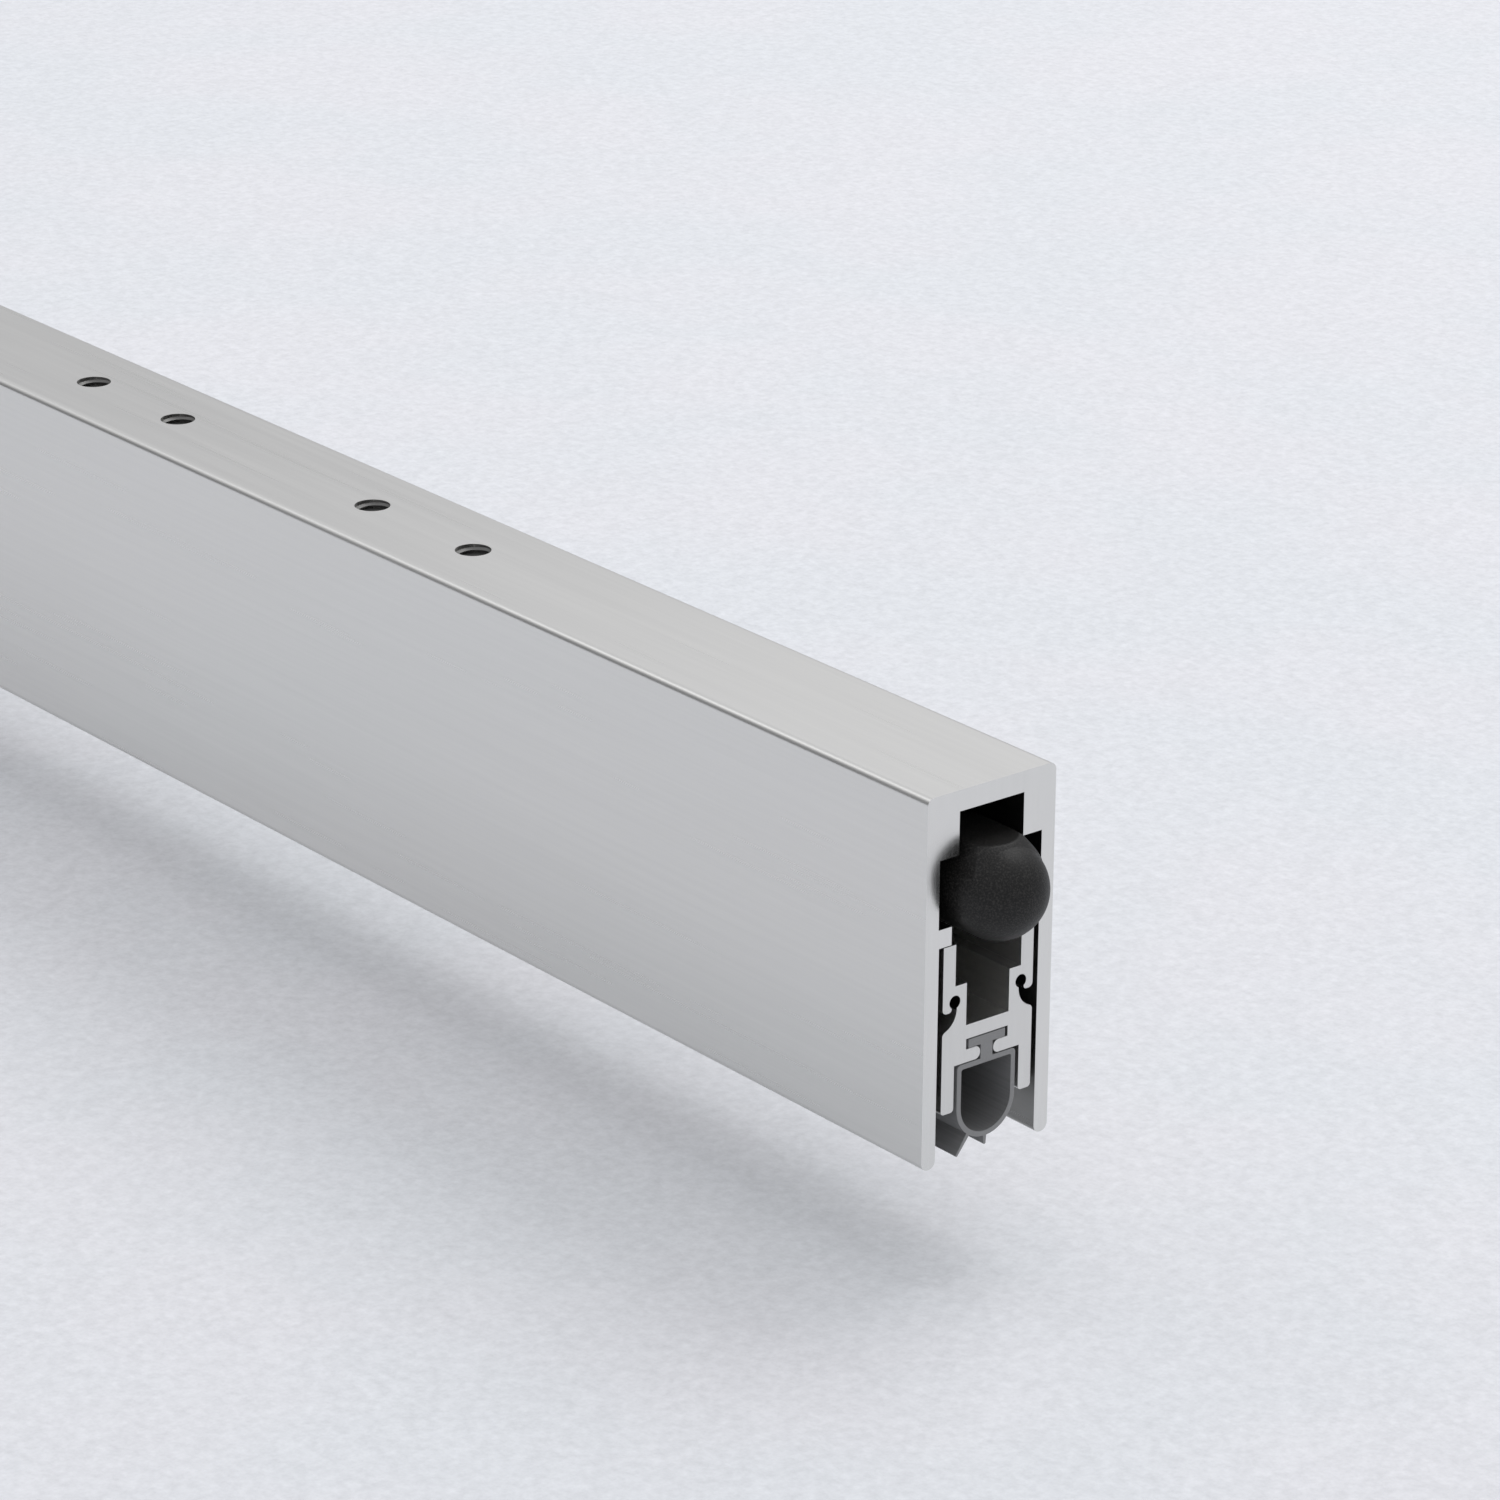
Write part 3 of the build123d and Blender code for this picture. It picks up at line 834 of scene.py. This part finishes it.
@dataclass
class Case:
    """The aluminium case, and the threads in its four tapped holes."""

    broken_edge: float = 0.035 * MM
    half_width: float = 6.25 * MM
    corner: float = 0.4 * MM
    corner_core: float = 0.24 * MM
    worn_corner: float = 0.62 * MM
    button_end: float = 167.5 * MM
    hole_distances: tuple[float, ...] = (64.3 * MM, 78.4 * MM, 107.4 * MM, 120.7 * MM)
    hole_radius: float = 1.5 * MM
    crisp_radius: float = 1.53 * MM
    top_wall: float = 1.7 * MM
    thread_pitch: float = 0.5 * MM
    thread_base_share: float = 0.44
    thread_crest_share: float = 0.07
    thread_height: float = 0.24 * MM
    thread_least_height: float = 0.004 * MM
    thread_sink: float = 0.02 * MM
    thread_inset: float = 0.05 * MM
    thread_runout_turns: float = 1 / 3
    thread_steps: int = 40

    def build(self) -> None:
        """Make the case's shell and its threads."""
        shell = softened("case", "case", self.broken_edge, CASE_ALUMINIUM, crisp=self.crisp_radius)
        for vertex in shell.data.vertices:
            self.ease(vertex.co)
        for number, distance in enumerate(self.hole_distances, start=1):
            self.thread(number, self.button_end - distance)

    def ease(self, place: Vector) -> None:
        """Move a point of the two top corners to the larger radius that brushing leaves.

        Args:
            place: The point, which is changed if it lies on one of those corners.
        """
        across = abs(place.y) - self.half_width + self.corner
        up = place.z + self.corner
        if min(across, up) < -WELD_DISTANCE or math.hypot(across, up) < self.corner_core:
            return
        grow = self.worn_corner / self.corner
        place.y = math.copysign(self.half_width - self.worn_corner + across * grow, place.y)
        place.z = up * grow - self.worn_corner

    def thread(self, number: int, x: float) -> None:
        """Make the helical ridge in one hole.

        Args:
            number: The hole's number.
            x: The hole's place along the seal.
        """
        root = self.hole_radius + self.thread_sink
        base = self.thread_pitch * self.thread_base_share
        crest = self.thread_pitch * self.thread_crest_share
        length = self.top_wall - 2 * base - 2 * self.thread_inset
        turns = length / self.thread_pitch
        count = int(turns * self.thread_steps)
        rings = []
        for i in range(count + 1):
            share = i / count
            turn = turns * share
            fade = min(1.0, min(turn, turns - turn) / self.thread_runout_turns)
            angle = math.tau * turn
            z = -base - self.thread_inset - length * share
            tip = self.hole_radius - max(self.thread_height * fade, self.thread_least_height)
            ring = []
            for radius, height in ((root, base), (tip, crest), (tip, -crest), (root, -base)):
                ring.append(Vector((x + radius * math.cos(angle), radius * math.sin(angle), z + height)))
            rings.append(ring)
        finished_piece(f"hole_thread_{number}", "case", lofted(rings), SHADED_THREAD_ALUMINIUM)


@dataclass
class Carrier:
    """The aluminium carrier and the gasket in its slot."""

    broken_edge: float = 0.04 * MM
    rubber_edge: float = 0.015 * MM

    def build(self) -> None:
        """Make the carrier and the gasket."""
        softened("carrier", "carrier", self.broken_edge, CARRIER_ALUMINIUM)
        softened("gasket", "carrier", self.rubber_edge, RUBBER)


@dataclass
class PushButton:
    """The black push button: a round body and nose, with slanted shoulders up to a flat top."""

    radius: float = 3.9 * MM
    shoulder_lean: float = math.radians(30)
    front_radius: float = 4.68 * MM
    front_setback: float = 5.48 * MM
    moulded_edge: float = 0.07 * MM
    back_edge: float = 0.2 * MM
    bore_radius: float = 1.52 * MM
    bore_depth: float = 9.0 * MM
    bore_middle_share: float = 0.02
    front_start_share: float = 0.4
    tip_start: float = 50.0
    tip_stop: float = 89.5
    steps_round: int = 300
    front_steps: int = 110
    tip_steps: int = 36
    body_steps: int = 14
    back: float = field(init=False)
    nose_centre: float = field(init=False)
    front_centre: float = field(init=False)
    axis_z: float = field(init=False)

    def build(self) -> None:
        """Make the button around its bore."""
        low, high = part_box("push_button")
        self.back = low.x
        self.nose_centre = high.x - self.radius
        self.front_centre = high.x - self.front_setback
        self.axis_z = low.z + self.radius
        bore_end = self.back + self.bore_depth
        rings = [
            self.round_ring(bore_end, self.bore_radius * self.bore_middle_share),
            self.round_ring(bore_end, self.bore_radius),
            self.round_ring(self.back + self.back_edge, self.bore_radius),
            self.round_ring(self.back, self.bore_radius + self.back_edge),
            self.body_ring(self.back, 1 - self.back_edge / self.radius),
            self.body_ring(self.back + self.back_edge, 1.0),
        ]
        edge = self.front_centre + self.front_start_share * self.radius
        rings += self.stations(self.back + 2 * self.back_edge, edge, self.body_steps)
        tip = self.nose_centre + self.radius * math.sin(math.radians(self.tip_start))
        rings += self.stations(edge, tip, self.front_steps)
        for i in range(self.tip_steps):
            past_start = (self.tip_stop - self.tip_start) * i / (self.tip_steps - 1)
            angle = math.radians(self.tip_start + past_start)
            rings.append(self.body_ring(self.nose_centre + self.radius * math.sin(angle), 1.0))
        piece = finished_piece("push_button_body", "button", lofted(rings), BUTTON_PLASTIC)
        piece.data.shade_smooth()
        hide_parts("push_button")

    def stations(self, start: float, stop: float, count: int) -> list[list[Vector]]:
        """Rings on the button's skin, evenly spaced, without the last."""
        return [self.body_ring(start + (stop - start) * i / count, 1.0) for i in range(count)]

    def round_ring(self, x: float, radius: float) -> list[Vector]:
        """A round ring about the button's axis."""
        angles = [math.tau * k / self.steps_round for k in range(self.steps_round)]
        return [Vector((x, radius * math.cos(a), self.axis_z + radius * math.sin(a))) for a in angles]

    def body_ring(self, x: float, share: float) -> list[Vector]:
        """A ring on the button's skin.

        Args:
            x: Place along the seal.
            share: The share of its size that it is drawn in to.

        Returns:
            The ring's points.
        """
        ring = []
        for k in range(self.steps_round):
            angle = math.tau * k / self.steps_round
            radius = self.reach(x, angle) * share
            ring.append(Vector((x, radius * math.cos(angle), self.axis_z + radius * math.sin(angle))))
        return ring

    def reach(self, x: float, angle: float) -> float:
        """How far the skin is from the axis.

        Args:
            x: Place along the seal.
            angle: Direction, from the +Y side upwards.

        Returns:
            The distance.
        """
        past = max(0.0, x - self.nose_centre)
        ball = math.sqrt(max(0.0, self.radius**2 - past**2))
        top = math.pi / 2
        lean = self.shoulder_lean
        if not lean < angle < math.pi - lean:
            return ball
        nearest = lean if angle < top else math.pi - lean
        slant = self.radius / math.cos(angle - nearest)
        block = self.soft_least(slant, self.radius / math.sin(angle))
        forward = max(0.0, x - self.front_centre)
        front = math.sqrt(max(0.0, self.front_radius**2 - forward**2))
        return max(ball, self.soft_least(block, front))

    def soft_least(self, first: float, second: float) -> float:
        """The smaller of two lengths, rounded where they cross."""
        near = max(0.0, self.moulded_edge - abs(first - second)) / self.moulded_edge
        return min(first, second) - near * near * self.moulded_edge / 4


@dataclass
class Drive:
    """Push button, stud, nut, washer, return spring, guide block and push rod."""

    spring_radius: float = 2.95 * MM
    wire_radius: float = 0.35 * MM
    coils: float = 6.0
    closed_coils: float = 1.0
    closed_rise: float = 0.45
    stroke: float = 4.5 * MM
    steps_round: int = 48
    wire_sides: int = 14

    def build(self) -> None:
        """Make the button and the spring, and dress the rest."""
        PushButton().build()
        ZINC_STEEL.dress_nodes("adjusting_screw", "lock_nut", "spring_washer", "push_rod")
        BLOCK_PLASTIC.dress_nodes("guide_block")
        BLACK_STEEL.dress_nodes("guide_block_screw")
        self.spring()

    def spring(self) -> None:
        """Make the return spring."""
        low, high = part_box("return_spring")
        axis_z = (low.z + high.z) / 2
        start = low.x + self.wire_radius
        length = high.x - low.x - 2 * self.wire_radius
        count = int(self.coils * self.steps_round)
        places = []
        for i in range(count + 1):
            turn = self.coils * i / count
            angle = math.tau * turn
            x = start + length * self.rise(turn)
            y = self.spring_radius * math.cos(angle)
            z = axis_z + self.spring_radius * math.sin(angle)
            places.append(Vector((x, y, z)))
        rings = []
        for i, place in enumerate(places):
            ahead = places[min(i + 1, count)] - places[max(i - 1, 0)]
            outward = Vector((0, place.y, place.z - axis_z)).normalized()
            side = ahead.normalized().cross(outward).normalized()
            ring = []
            for k in range(self.wire_sides):
                angle = math.tau * k / self.wire_sides
                offset = outward * math.cos(angle) + side * math.sin(angle)
                ring.append(place + offset * self.wire_radius)
            rings.append(ring)
        piece = finished_piece("return_spring_coil", "case", lofted(rings), SPRING_STEEL)
        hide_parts("return_spring")
        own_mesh(piece)

    def rise(self, turn: float) -> float:
        """How far along the spring a turn is, with the end coils wound closer.

        Args:
            turn: The number of turns from the spring's start.

        Returns:
            The share of its length, from 0 to 1.
        """
        slow = self.closed_rise
        ends = self.closed_coils
        total = self.coils - 2 * ends * (1 - slow)
        first = min(turn, ends) * slow
        middle = max(0.0, min(turn, self.coils - ends) - ends)
        last = max(0.0, turn - (self.coils - ends)) * slow
        return (first + middle + last) / total


@dataclass
class LoweringUnit:
    """Blocks, links, pins and bracket of one unit that lowers the carrier."""

    number: int

    def build(self) -> None:
        """Dress the unit's nodes."""
        n = self.number
        BLOCK_PLASTIC.dress_nodes(f"fixed_block_{n}", f"slide_block_{n}")
        BLACK_STEEL.dress_nodes(f"fixed_block_screw_{n}", f"slide_block_screw_{n}", f"bracket_screw_{n}")
        BRACKET_ZINC.dress_nodes(f"carrier_bracket_{n}")
        ZINC_STEEL.dress_nodes(f"short_link_{n}", f"long_link_{n}")
        ZINC_STEEL.dress_nodes(*(f"{pin}_pin_{n}" for pin in ("fixed", "middle", "slide", "carrier")))


# Studio


@dataclass(frozen=True)
class PaleFloor:
    """A plain pale floor with a fine mottle, clear from below so that the seal shows from there too."""

    colour: Colour = (0.82, 0.825, 0.86)
    cool: Colour = (0.80, 0.82, 0.855)
    cool_edges: Range = (0.35, 0.65)
    grain_lowest: float = 0.83
    grain_spread: float = 0.34
    roughness: float = 0.9
    grain: Pattern = even(1100.0, 3.0, 0.7)
    cloud: Pattern = even(30.0, 3.0)
    backdrop_share: float = 0.22
    backdrop_level: float = 0.98

    def material(self) -> bpy.types.Material:
        """Make the floor's material.

        Returns:
            The material.
        """
        material = bpy.data.materials.new("pale_floor")
        material.use_nodes = True
        graph = Graph(material.node_tree)
        places = graph.places()
        grain = graph.noise(places, self.grain)
        cloud = graph.noise(places, self.cloud)
        tone = graph.tint(graph.step(cloud, *self.cool_edges), self.colour, self.cool)
        inputs = {0: tone, "Scale": self.grain_lowest + self.grain_spread * grain}
        grained = graph.node("ShaderNodeVectorMath", {"operation": "SCALE"}, inputs, "Vector")
        inputs = {"Base Color": grained, "Roughness": self.roughness, "Specular IOR Level": 0.0}
        lit = graph.node("ShaderNodeBsdfPrincipled", None, inputs, "BSDF")
        inputs = {"Color": grained, "Strength": self.backdrop_level}
        backdrop = graph.node("ShaderNodeEmission", None, inputs, "Emission")
        camera = graph.node("ShaderNodeLightPath", output="Is Camera Ray")
        seen = camera + camera.output("Is Glossy Ray") + camera.output("Is Transmission Ray")
        inputs = {0: seen * self.backdrop_share, 1: lit, 2: backdrop}
        above = graph.node("ShaderNodeMixShader", None, inputs, "Shader")
        below = graph.node("ShaderNodeBsdfTransparent", None, None, "BSDF")
        back = graph.node("ShaderNodeNewGeometry", output="Backfacing")
        surface = graph.node("ShaderNodeMixShader", None, {0: back, 1: above, 2: below}, "Shader")
        graph.finish("ShaderNodeOutputMaterial", "Surface", surface)
        return material


@dataclass(frozen=True)
class SoftBox:
    """A soft area light that points at a place on the seal."""

    name: str
    place: Place
    width: float
    height: float
    watts: float
    target: Place = (0.12, 0.0, -0.015)

    def build(self) -> None:
        """Make the light."""
        data = bpy.data.lights.new(self.name, "AREA")
        data.shape = "RECTANGLE"
        data.size = self.width
        data.size_y = self.height
        data.energy = self.watts
        light = bpy.data.objects.new(self.name, data)
        light.location = self.place
        aim = Vector(self.target) - Vector(self.place)
        light.rotation_euler = aim.to_track_quat("-Z", "Y").to_euler()
        bpy.context.scene.collection.objects.link(light)


@dataclass
class Studio:
    """Floor, light and camera."""

    floor_level: float = -40 * MM
    floor_size: float = 12.0
    sky: float = 0.74
    sky_colour: Colour = (0.98, 0.985, 1.01)
    horizon: float = 0.45
    horizon_edges: Range = (-0.05, 0.5)
    dim_direction: Place = (-0.62, -0.78, 0.08)
    dim_edges: Range = (0.75, 0.97)
    dimming: float = 0.6
    camera_place: Place = (468.57 * MM, -266.80 * MM, 159.53 * MM)
    azimuth: float = 50.996
    elevation: float = 21.373
    roll: float = 0.397
    lens: float = 141.35
    sensor_width: float = 36.0
    seen_from: float = 0.01
    seen_to: float = 50.0
    lights: tuple[SoftBox, ...] = (
        SoftBox("back_box", (0.02, 0.62, 1.0), width=0.6, height=0.6, watts=4.2),
        SoftBox("top_box", (-0.52, 0.98, 0.62), width=0.9, height=0.7, watts=0.3),
        SoftBox("edge_box", (-0.45, -0.20, 0.60), width=0.3, height=0.3, watts=0.16),
    )

    def build(self) -> None:
        """Make the whole studio."""
        self.floor()
        self.world()
        for light in self.lights:
            light.build()
        self.camera()

    def floor(self) -> None:
        """Make the floor, at the level that the lowered gasket comes down to."""
        half = self.floor_size / 2
        mesh = bpy.data.meshes.new("floor")
        corners = [(-half, -half), (half, -half), (half, half), (-half, half)]
        mesh.from_pydata([(x, y, self.floor_level) for x, y in corners], [], [(0, 1, 2, 3)])
        floor = bpy.data.objects.new("floor", mesh)
        bpy.context.scene.collection.objects.link(floor)
        mesh.materials.append(PaleFloor().material())

    def world(self) -> None:
        """Make the sky, darker at the horizon and on one side."""
        world = bpy.data.worlds.new("studio_sky")
        bpy.context.scene.world = world
        world.use_nodes = True
        graph = Graph(world.node_tree)
        direction = graph.node("ShaderNodeTexCoord", output="Generated")
        height = graph.node("ShaderNodeSeparateXYZ", None, {0: direction}, "Z")
        inputs = {0: direction, 1: self.dim_direction}
        towards = graph.node("ShaderNodeVectorMath", {"operation": "DOT_PRODUCT"}, inputs, "Value")
        level = self.horizon + (1 - self.horizon) * graph.step(height, *self.horizon_edges)
        level = level * (1 - self.dimming * graph.step(towards, *self.dim_edges))
        inputs = {"Color": self.sky_colour, "Strength": level * self.sky}
        background = graph.node("ShaderNodeBackground", None, inputs, "Background")
        graph.finish("ShaderNodeOutputWorld", "Surface", background)

    def camera(self) -> None:
        """Make the camera at the photograph's viewing angle."""
        data = bpy.data.cameras.new("camera")
        data.lens = self.lens
        data.sensor_width = self.sensor_width
        data.clip_start = self.seen_from
        data.clip_end = self.seen_to
        camera = bpy.data.objects.new("camera", data)
        azimuth = math.radians(self.azimuth)
        elevation = math.radians(self.elevation)
        back = Vector(
            (
                math.sin(azimuth) * math.cos(elevation),
                -math.cos(azimuth) * math.cos(elevation),
                math.sin(elevation),
            )
        )
        level_right = (-back).cross(Vector((0, 0, 1))).normalized()
        level_up = level_right.cross(-back)
        roll = math.radians(self.roll)
        right = math.cos(roll) * level_right + math.sin(roll) * level_up
        up = math.cos(roll) * level_up - math.sin(roll) * level_right
        turn = Matrix((right, up, back)).transposed()
        camera.matrix_world = Matrix.Translation(self.camera_place) @ turn.to_4x4()
        bpy.context.scene.collection.objects.link(camera)
        bpy.context.scene.camera = camera


def main() -> None:
    """Build the seal's looks and the studio."""
    logging.basicConfig(level=logging.INFO, format="%(message)s")
    bpy.context.scene.view_settings.view_transform = "Standard"
    for part in (Case(), Carrier(), Drive(), LoweringUnit(1), LoweringUnit(2), Studio()):
        part.build()


if __name__ == "__main__":
    main()
